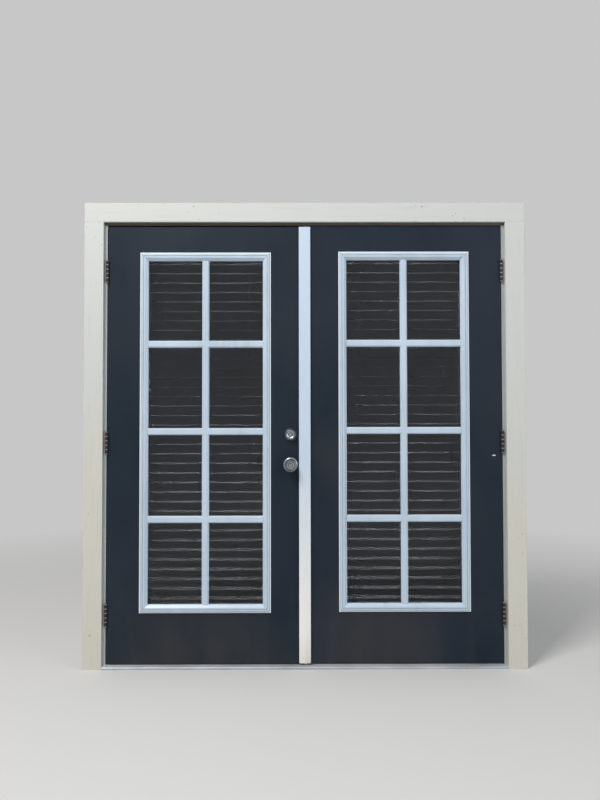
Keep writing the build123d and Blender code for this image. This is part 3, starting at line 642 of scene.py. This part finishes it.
def boardPaint(name, along, worn):
    # Brushed paint over a board whose grain runs along one axis, greyer in random clouds and towards the
    # top, where the grey is painted shade
    material, tree, shader = startMaterial(name, boardLook["cream"], 0.5)
    shader.inputs["Specular IOR Level"].default_value = boardLook["sheen"]
    grain = woodGrain(tree, along)
    cloud = noise(tree, place(tree, (1, 1, 0.6)), 3.0, 6)
    # Painted shade: the board turns grey towards the top, mixed with random clouds
    height = compute(tree, "MULTIPLY", axisOf(tree, place(tree), "Z"), 0.34)
    cloudAndTopShade = compute(tree, "ADD", cloud, height)
    color = ramp(tree, cloudAndTopShade, (0.66, boardLook["cream"]), (1.0, boardLook["pale"]))
    color = mix(tree, ramp(tree, grain, (0.54, 0.0), (0.80, 0.5)), color, boardLook["brushMark"])
    specks = noise(tree, place(tree, (1, 1, 0.7)), 95, 3, 0.5)
    patches = noise(tree, place(tree), 3.1, 2)
    chips = compute(
        tree,
        "MULTIPLY",
        ramp(tree, specks, (0.71 - 0.02 * worn, 0.0), (0.74, 1.0)),
        ramp(tree, patches, (0.5, 0.0), (0.62, 1.0)),
    )
    color = mix(tree, compute(tree, "MULTIPLY", chips, 0.8), color, boardLook["chip"])
    paint(tree, shader, color, ramp(tree, grain, (0.3, 0.42), (0.8, 0.6)))
    bump(tree, shader, compute(tree, "SUBTRACT", grain, compute(tree, "MULTIPLY", chips, 0.6)), 0.3, 0.0012)
    return material


# The jamb's grey is painted shade in the reveal, and the head edge's brown is the casing's painted shadow
jambLook = {"paint": (0.36, 0.385, 0.39), "bare": (0.085, 0.062, 0.045), "bareEdge": (-0.050, -0.036)}


def jambPaint(name, along, bare):
    # The casing's paint, painted grey as shade in the reveal; the head's outer edge is painted dark brown as
    # the casing's shadow with brown bounce light
    material, tree, shader = startMaterial(name, jambLook["paint"], 0.5)
    grain = woodGrain(tree, along)
    shadedWhite, shadowBrown = Vector(jambLook["paint"]), Vector(jambLook["bare"])
    color = ramp(tree, grain, (0.35, shadedWhite * 0.86), (0.7, shadedWhite * 1.08))
    if bare:
        # Painted shadow under the head casing, strongest at the outer edge
        depth = axisOf(tree, place(tree), "Y")
        start, end = jambLook["bareEdge"]
        outer = compute(tree, "DIVIDE", compute(tree, "SUBTRACT", end, depth), end - start, clamp=True)
        color = mix(tree, outer, color, ramp(tree, grain, (0.3, shadowBrown * 0.7), (0.75, shadowBrown * 1.35)))
    paint(tree, shader, color, ramp(tree, grain, (0.3, 0.45), (0.8, 0.65)))
    bump(tree, shader, grain, 0.3, 0.0012)
    return material


stripLook = {
    # upper is the white paint painted in blue sky shade, lower is the same white painted in warm sunlight
    "upper": (0.49, 0.605, 0.745),
    "lower": (0.83, 0.82, 0.79),
    "cloud": (0.62, 0.63, 0.62),
    "grimeAndShade": (0.40, 0.33, 0.23),
    "grimeTop": 0.16,
}


def stripPaint():
    material, tree, shader = startMaterial("stripPaint", stripLook["upper"], 0.36)
    height = axisOf(tree, place(tree), "Z")
    cloud = noise(tree, place(tree, (14, 14, 2.2)), 1.4, 6)
    # Painted light: warm sunlit white towards the foot, blue sky shade higher up
    base = ramp(tree, height, (0.25, stripLook["lower"]), (1.0, stripLook["upper"]))
    base = mix(tree, ramp(tree, cloud, (0.35, 0.0), (0.75, 0.35)), base, stripLook["cloud"])
    low = ramp(tree, height, (0.025, 0.9), (0.06, 0.35), (stripLook["grimeTop"], 0.0))
    grimeAndShade = compute(tree, "MULTIPLY", low, ramp(tree, cloud, (0.34, 0.15), (0.66, 0.9)))
    rough = ramp(tree, cloud, (0.3, 0.3), (0.8, 0.46))
    paint(tree, shader, mix(tree, grimeAndShade, base, stripLook["grimeAndShade"]), rough)
    bump(tree, shader, noise(tree, place(tree, (30, 30, 3)), 5, 4), 0.12, 0.0008)
    return material


liteLook = {
    # The white plastic is painted bluish grey, as painted shade from the sky; worn is a darker random tone
    # of it
    "skyShadeWhite": (0.50, 0.60, 0.71),
    "worn": (0.43, 0.525, 0.625),
    "crease": (0.25, 0.30, 0.35),
    "rim": (0.70, 0.755, 0.80),  # the outer edge, a painted highlight
    "highlightWidth": 0.0042,
    "mitreWidth": 0.0011,
    "border": 0.037,
    "grooveInset": 0.0165,
    "grooveHalf": 0.0019,
}


def litePlastic(name, frameNode):
    # Moulded plastic with a fine mitre line at each corner, darker in patches along the moulding's groove
    low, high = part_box(frameNode)
    center = (low + high) / 2
    half = (high - low) / 2
    material, tree, shader = startMaterial(name, liteLook["skyShadeWhite"], 0.3)
    spot = place(tree, shift=(-center.x, 0, -center.z))
    across = compute(tree, "SUBTRACT", half.x, compute(tree, "ABSOLUTE", axisOf(tree, spot, "X")))
    down = compute(tree, "SUBTRACT", half.z, compute(tree, "ABSOLUTE", axisOf(tree, spot, "Z")))
    diagonal = compute(tree, "ABSOLUTE", compute(tree, "SUBTRACT", across, down))
    fromEdge = compute(tree, "MINIMUM", across, down)
    inBorder = compute(tree, "LESS_THAN", compute(tree, "MAXIMUM", across, down), liteLook["border"])
    line = compute(tree, "MULTIPLY", compute(tree, "LESS_THAN", diagonal, liteLook["mitreWidth"]), inBorder)
    inset = compute(tree, "ABSOLUTE", compute(tree, "SUBTRACT", fromEdge, liteLook["grooveInset"]))
    groove = compute(tree, "LESS_THAN", inset, liteLook["grooveHalf"])
    cloud = noise(tree, place(tree, (4, 4, 1.4)), 2.6, 5)
    grimeAndShade = ramp(tree, noise(tree, place(tree), 26, 6), (0.35, 0.25), (0.7, 0.75))
    color = ramp(tree, cloud, (0.3, liteLook["worn"]), (0.7, liteLook["skyShadeWhite"]))
    grooveDarkening = compute(tree, "MULTIPLY", groove, grimeAndShade)
    dark = compute(tree, "MAXIMUM", compute(tree, "MULTIPLY", line, 0.6), grooveDarkening)
    color = mix(tree, dark, color, liteLook["crease"])
    # Painted highlight along the frame's outer edge
    rim = compute(tree, "LESS_THAN", fromEdge, liteLook["highlightWidth"])
    color = mix(tree, rim, color, liteLook["rim"])
    paint(tree, shader, color, ramp(tree, cloud, (0.3, 0.26), (0.8, 0.4)))
    grainy = noise(tree, place(tree), 700, 2)
    bump(tree, shader, compute(tree, "SUBTRACT", compute(tree, "MULTIPLY", grainy, 0.2), line), 0.25, 0.0005)
    return material


sillLook = {"bright": (0.47, 0.50, 0.55), "dull": (0.31, 0.325, 0.345), "scuff": (0.20, 0.18, 0.155)}


def sillMetal():
    material, tree, shader = startMaterial("sillMetal", sillLook["bright"], 0.45, 0.35)
    drawn = noise(tree, place(tree, (1.2, 160, 160)), 1.0, 6, 0.6)
    cloud = noise(tree, place(tree, (2.2, 9, 9)), 2.0, 6)
    color = ramp(tree, cloud, (0.3, sillLook["dull"]), (0.62, sillLook["bright"]))
    scuffs = ramp(tree, noise(tree, place(tree, (8, 60, 60)), 3, 8, 0.7), (0.6, 0.0), (0.78, 0.7))
    color = mix(tree, scuffs, color, sillLook["scuff"])
    paint(tree, shader, color, ramp(tree, drawn, (0.3, 0.36), (0.8, 0.6)))
    bump(tree, shader, drawn, 0.18, 0.0006)
    return material


def sealRubber():
    material, tree, shader = startMaterial("sealRubber", (0.035, 0.03, 0.026), 0.7)
    fine = noise(tree, place(tree), 260, 4)
    color = ramp(tree, fine, (0.3, (0.025, 0.022, 0.02)), (0.75, (0.06, 0.052, 0.045)))
    paint(tree, shader, color, ramp(tree, fine, (0.3, 0.6), (0.8, 0.8)))
    bump(tree, shader, fine, 0.25, 0.0006)
    return material


hingeLook = {
    "knuckle": 0.0204,
    "phase": 10.5,  # puts the middle of a knuckle at the hinge's middle
    "steel": (0.50, 0.49, 0.47),
    "rust": (0.040, 0.022, 0.014),
    "dark": (0.015, 0.012, 0.011),
    "rustFrom": 0.38,
    "rustFull": 0.58,
}


def hingeMetal(name, middleZ):
    # Tarnished steel, rusty in patches, with bright worn ends on the knuckles
    material, tree, shader = startMaterial(name, hingeLook["dark"], 0.5, 0.6)
    cloud = noise(tree, place(tree, (1, 1, 0.6)), 60, 8, 0.68)
    fine = noise(tree, place(tree), 320, 5, 0.6)
    along = axisOf(tree, place(tree, shift=(0, 0, -middleZ)), "Z")
    step = compute(tree, "ADD", compute(tree, "DIVIDE", along, hingeLook["knuckle"]), hingeLook["phase"])
    ends = compute(tree, "ABSOLUTE", compute(tree, "SUBTRACT", compute(tree, "FRACT", step), 0.5))
    rubbed = ramp(tree, ends, (0.39, 0.0), (0.45, 1.0))
    worn = compute(tree, "MULTIPLY", rubbed, ramp(tree, fine, (0.3, 1.0), (0.7, 0.55)))
    rusted = ramp(tree, cloud, (hingeLook["rustFrom"], 0.0), (hingeLook["rustFull"], 1.0))
    color = mix(tree, rusted, hingeLook["dark"], hingeLook["rust"])
    color = mix(tree, worn, color, hingeLook["steel"])
    metal = compute(tree, "MAXIMUM", compute(tree, "MULTIPLY", worn, 0.8), 0.3)
    tree.links.new(metal, shader.inputs["Metallic"])
    paint(tree, shader, color, ramp(tree, rusted, (0.0, 0.45), (1.0, 0.82)))
    bump(tree, shader, compute(tree, "ADD", rusted, fine), 0.35, 0.0006)
    return material


def screwMetal():
    material, tree, shader = startMaterial("screwMetal", (0.22, 0.19, 0.16), 0.45, 0.8)
    cloud = noise(tree, place(tree), 180, 6, 0.6)
    color = ramp(tree, cloud, (0.35, (0.26, 0.24, 0.21)), (0.65, (0.10, 0.055, 0.03)))
    paint(tree, shader, color, ramp(tree, cloud, (0.3, 0.36), (0.8, 0.7)))
    bump(tree, shader, cloud, 0.2, 0.0003)
    return material


nickelLook = {
    "bright": (0.50, 0.53, 0.565),
    "dull": (0.30, 0.32, 0.35),
    "grimeAndShade": (0.05, 0.05, 0.055),
    "broadRings": 900.0,
    "fineRings": 9000.0,
    "fineShare": 0.02,
    # Each painted dark ring's radius and half its width
    "knobDarkRings": ((0.0095, 0.0034), (0.0180, 0.0030), (0.0262, 0.0030), (0.0345, 0.0022)),
    "collarDarkRings": ((0.0090, 0.0032), (0.0185, 0.0030), (0.0250, 0.0026), (0.0290, 0.0020)),
}


def satinNickel(name, center, darkRings):
    # Turned pieces show fine rings about their own axis, and broad dark rings of painted shade and painted
    # dark reflection where one ring meets the next
    material, tree, shader = startMaterial(name, nickelLook["bright"], 0.24, 1.0)
    cloud = noise(tree, place(tree), 34, 6)
    color = ramp(tree, cloud, (0.34, nickelLook["dull"]), (0.62, nickelLook["bright"]))
    spot = place(tree, shift=(-center.x, 0, -center.z))
    radius = vectorMath(tree, "LENGTH", vectorMath(tree, "MULTIPLY", spot, (1, 0, 1)))
    # Broad dark rings of painted shade and painted dark reflection
    for groove, half in darkRings:
        away = compute(tree, "ABSOLUTE", compute(tree, "SUBTRACT", radius, groove))
        near = compute(tree, "SUBTRACT", 1.0, compute(tree, "DIVIDE", away, half), clamp=True)
        color = mix(tree, compute(tree, "MULTIPLY", near, 0.95), color, nickelLook["grimeAndShade"])
    paint(tree, shader, color, ramp(tree, noise(tree, place(tree), 70, 6, 0.7), (0.3, 0.27), (0.8, 0.44)))
    broad = compute(tree, "SINE", compute(tree, "MULTIPLY", radius, nickelLook["broadRings"]))
    fine = compute(tree, "SINE", compute(tree, "MULTIPLY", radius, nickelLook["fineRings"]))
    fine = compute(tree, "MULTIPLY", fine, nickelLook["fineShare"])
    bump(tree, shader, compute(tree, "ADD", broad, fine), 0.24, 0.0005)
    return material


def boltSteel():
    material, tree, shader = startMaterial("boltSteel", (0.5, 0.49, 0.47), 0.32, 1.0)
    brushed = noise(tree, place(tree, (500, 40, 500)), 1.0, 4)
    color = ramp(tree, brushed, (0.3, (0.4, 0.39, 0.37)), (0.8, (0.56, 0.55, 0.53)))
    paint(tree, shader, color, ramp(tree, brushed, (0.3, 0.26), (0.8, 0.4)))
    bump(tree, shader, brushed, 0.12, 0.0003)
    return material


glassLook = {"roomShadeTint": (0.214, 0.222, 0.233), "ior": 1.2, "film": 0.9}


def roomShadeGlass():
    # Painted shade: tinted dark to stand for clear panes before a dark room, so that the panes look dark
    # before a pale backdrop
    material, tree, shader = startMaterial("roomShadeGlass", glassLook["roomShadeTint"], 0.0)
    shader.inputs["Transmission Weight"].default_value = 1.0
    shader.inputs["IOR"].default_value = glassLook["ior"]
    film = noise(tree, place(tree, (1.5, 1, 0.9)), 3.0, 6)
    clean, dusty = Vector(glassLook["roomShadeTint"]), Vector(glassLook["roomShadeTint"]) * glassLook["film"]
    paint(tree, shader, ramp(tree, film, (0.35, clean), (0.75, dusty)))
    return material


slatLook = {
    "light": (0.84, 0.82, 0.775),
    "dark": (0.77, 0.745, 0.69),
    # railShade: the rails are painted darker than the slats, as shade against the strong back lamps
    "railShade": 0.72,
    "coat": 0.8,
    "coatRoughness": 0.36,
}


def slatFinish(name, tone=1.0):
    # A tone under 1 paints a darker, shaded copy of the finish
    light, dark = (Vector(slatLook[key]) * tone for key in ("light", "dark"))
    material, tree, shader = startMaterial(name, light, 0.42)
    grain = noise(tree, place(tree, (2.5, 90, 30)), 1.5, 7, 0.6)
    shader.inputs["Coat Weight"].default_value = slatLook["coat"]
    shader.inputs["Coat Roughness"].default_value = slatLook["coatRoughness"]
    color = ramp(tree, grain, (0.35, dark), (0.68, light))
    paint(tree, shader, color, ramp(tree, grain, (0.3, 0.32), (0.8, 0.46)))
    bump(tree, shader, grain, 0.04, 0.0002)
    return material


def cordFibre():
    material, tree, shader = startMaterial("cordFibre", (0.72, 0.70, 0.65), 0.85)
    twist = addNode(
        tree,
        "ShaderNodeTexWave",
        {"Vector": place(tree, turn=(0, radians(35), 0)), "Scale": 320.0, "Distortion": 1.5},
        bands_direction="Z",
    ).outputs["Fac"]
    color = ramp(tree, twist, (0.2, (0.58, 0.56, 0.51)), (0.8, (0.80, 0.78, 0.73)))
    paint(tree, shader, color, ramp(tree, twist, (0.2, 0.95), (0.8, 0.75)))
    bump(tree, shader, twist, 0.4, 0.0004)
    return material


def tasselPlastic():
    material, tree, shader = startMaterial("tasselPlastic", (0.80, 0.78, 0.73), 0.38)
    grain = noise(tree, place(tree, (120, 120, 26)), 1.0, 5)
    color = ramp(tree, grain, (0.3, (0.72, 0.70, 0.64)), (0.7, (0.82, 0.80, 0.76)))
    paint(tree, shader, color, ramp(tree, grain, (0.3, 0.3), (0.8, 0.46)))
    bump(tree, shader, grain, 0.12, 0.0003)
    return material


finishes = {
    "leaf": leafPaint(),
    "sideBoard": boardPaint("sideBoardPaint", "Z", 1.0),
    "headBoard": boardPaint("headBoardPaint", "X", 0.4),
    "sideJamb": jambPaint("sideJambPaint", "Z", False),
    "headJamb": jambPaint("headJambPaint", "X", True),
    "strip": stripPaint(),
    "leftLite": litePlastic("leftLitePlastic", "left_outer_lite_frame"),
    "rightLite": litePlastic("rightLitePlastic", "right_outer_lite_frame"),
    "sill": sillMetal(),
    "seal": sealRubber(),
    "screw": screwMetal(),
    "knobNickel": satinNickel("knobNickel", middleOf("outer_knob"), nickelLook["knobDarkRings"]),
    "collarNickel": satinNickel("collarNickel", middleOf("deadbolt_collar"), nickelLook["collarDarkRings"]),
    "bolt": boltSteel(),
    "glass": roomShadeGlass(),
    "slat": slatFinish("slatFinish"),
    "rail": slatFinish("railFinish", slatLook["railShade"]),
    "cord": cordFibre(),
    "tassel": tasselPlastic(),
}

nodeFinish = {
    "sideBoard": ["left_casing", "right_casing"],
    "headBoard": ["head_casing"],
    "sideJamb": ["left_jamb", "right_jamb"],
    "headJamb": ["head_jamb"],
    "strip": ["astragal"],
    "sill": ["threshold"],
    "seal": ["left_weatherstrip", "right_weatherstrip", "head_weatherstrip", "left_sweep", "right_sweep"],
    "screw": ["hinge_pins"],
    "leaf": ["left_leaf", "right_leaf"],
    "leftLite": ["left_outer_lite_frame", "left_inner_lite_frame", "left_outer_grille"],
    "rightLite": ["right_outer_lite_frame", "right_inner_lite_frame", "right_outer_grille"],
    "glass": ["left_glass", "right_glass"],
    "knobNickel": ["outer_rose", "inner_rose", "outer_knob", "inner_knob"],
    "collarNickel": ["deadbolt_collar", "thumbturn_plate", "thumbturn", "key_plug"],
    "bolt": [
        "latch_case",
        "latch_bolt",
        "deadbolt_case",
        "dead_bolt",
        "latch_strike",
        "deadbolt_strike",
        "upper_flush_bolt",
        "lower_flush_bolt",
    ],
    "slat": ["left_blind_slats", "right_blind_slats"],
    "rail": [name for name in nodes if "_blind_" in name and name.endswith("rail")],
    "cord": ["left_blind_cords", "right_blind_cords"],
}
for word in sides:
    for level in hingeLevels:
        plates = [f"{word}_{level}_hinge_{half}_plate" for half in ("jamb", "leaf")]
        finish = word + level.capitalize() + "Hinge"
        finishes[finish] = hingeMetal(finish + "Metal", middleOf(plates[0]).z)
        nodeFinish[finish] = plates


def dress(piece, finish):
    piece.data.materials.clear()
    piece.data.materials.append(finishes[finish])


for finish, names in nodeFinish.items():
    for name in names:
        dress(nodes[name], finish)
for piece, finish in toDress:
    dress(piece, finish)
for word in sides:
    # The panes cast no shadow, so the blinds behind them are lit
    nodes[word + "_glass"].visible_shadow = False
    nodes[word + "_glass"].visible_diffuse = False
print("materials on", sum(len(names) for names in nodeFinish.values()), "nodes and", len(toDress), "pieces")

# Floor, backdrop and light
studio = {
    "sight": 0.57,  # how bright the backdrop looks
    "fill": 0.40,  # how strongly it lights the object
    "floor": (0.63, 0.63, 0.625),
    "floorRadius": 60.0,
    "floorGap": 0.0005,  # under the object
    "fadeFrom": 1.4,
    "fadeTo": 4.6,
}


def paleStrength(tree):
    # The backdrop's brightness where the eye, metal or glass sees it, and its plain light elsewhere
    rays = addNode(tree, "ShaderNodeLightPath").outputs
    seen = compute(tree, "ADD", rays["Is Camera Ray"], rays["Is Glossy Ray"])
    seen = compute(tree, "ADD", seen, rays["Is Transmission Ray"], clamp=True)
    extra = compute(tree, "MULTIPLY", seen, studio["sight"] - studio["fill"])
    return compute(tree, "ADD", extra, studio["fill"])


def addWorld():
    world = bpy.data.worlds.new("studio")
    world.use_nodes = True
    scene.world = world
    tree = world.node_tree
    tree.links.new(paleStrength(tree), tree.nodes["Background"].inputs["Strength"])
    tree.nodes["Background"].inputs["Color"].default_value = (1, 1, 1, 1)


def addFloor():
    mesh = bmesh.new()
    bmesh.ops.create_circle(mesh, cap_ends=True, segments=96, radius=studio["floorRadius"])
    data = bpy.data.meshes.new("floor")
    mesh.to_mesh(data)
    mesh.free()
    floor = bpy.data.objects.new("floor", data)
    floor.location.z = cadBox[0][2] - studio["floorGap"]
    scene.collection.objects.link(floor)
    material, tree, shader = startMaterial("floorPaint", studio["floor"], 0.75)
    shader.inputs["Specular IOR Level"].default_value = 0.15
    grain = noise(tree, place(tree), 240, 3)
    bump(tree, shader, grain, 0.05, 0.001)
    far = compute(tree, "SUBTRACT", vectorMath(tree, "LENGTH", place(tree)), studio["fadeFrom"])
    far = compute(tree, "DIVIDE", far, studio["fadeTo"] - studio["fadeFrom"], clamp=True)
    glow = addNode(tree, "ShaderNodeEmission", {"Strength": paleStrength(tree)}).outputs["Emission"]
    blend = addNode(tree, "ShaderNodeMixShader", {0: far, 1: shader.outputs["BSDF"], 2: glow})
    tree.links.new(blend.outputs["Shader"], tree.nodes["Material Output"].inputs["Surface"])
    data.materials.append(material)
    unlit = bpy.data.collections.new("unlitByBackLamps")
    unlit.objects.link(floor)
    unlit.collection_objects[0].light_linking.link_state = "EXCLUDE"
    return unlit


def addLamp(name, spot, target, size, watts, color=(1, 1, 1), spares=None):
    # The lamp lights everything but the objects of the spared collection
    data = bpy.data.lights.new(name, "AREA")
    data.shape = "RECTANGLE"
    data.size, data.size_y = size
    data.energy = watts
    data.color = color
    lamp = bpy.data.objects.new(name, data)
    lamp.location = spot
    lamp.rotation_euler = (Vector(target) - Vector(spot)).to_track_quat("-Z", "Y").to_euler()
    lamp.visible_camera = False
    lamp.visible_transmission = False
    lamp.light_linking.receiver_collection = spares
    scene.collection.objects.link(lamp)


addWorld()
unlit = addFloor()
# Each lamp's place, target, size, power in watts and colour
addLamp("keyLamp", (-2.2, -3.4, 5.4), (0, 0, 1.1), (1.8, 1.8), 290, (1.0, 0.98, 0.95))
addLamp("fillLamp", (4.2, -3.6, 2.4), (0, 0, 1.0), (3.0, 2.0), 74, (0.88, 0.94, 1.0))
addLamp("backLamp", (0, 4.4, 1.95), (0, 0, 1.35), (3.4, 1.3), 108, spares=unlit)
addLamp("topBackLamp", (1.6, 3.4, 4.8), (0, 0, 1.1), (1.8, 1.8), 88, spares=unlit)
addLamp("lowBackLamp", (0, 3.0, 0.35), (0, 0, 1.7), (2.6, 0.6), 36, spares=unlit)
print("studio ready")
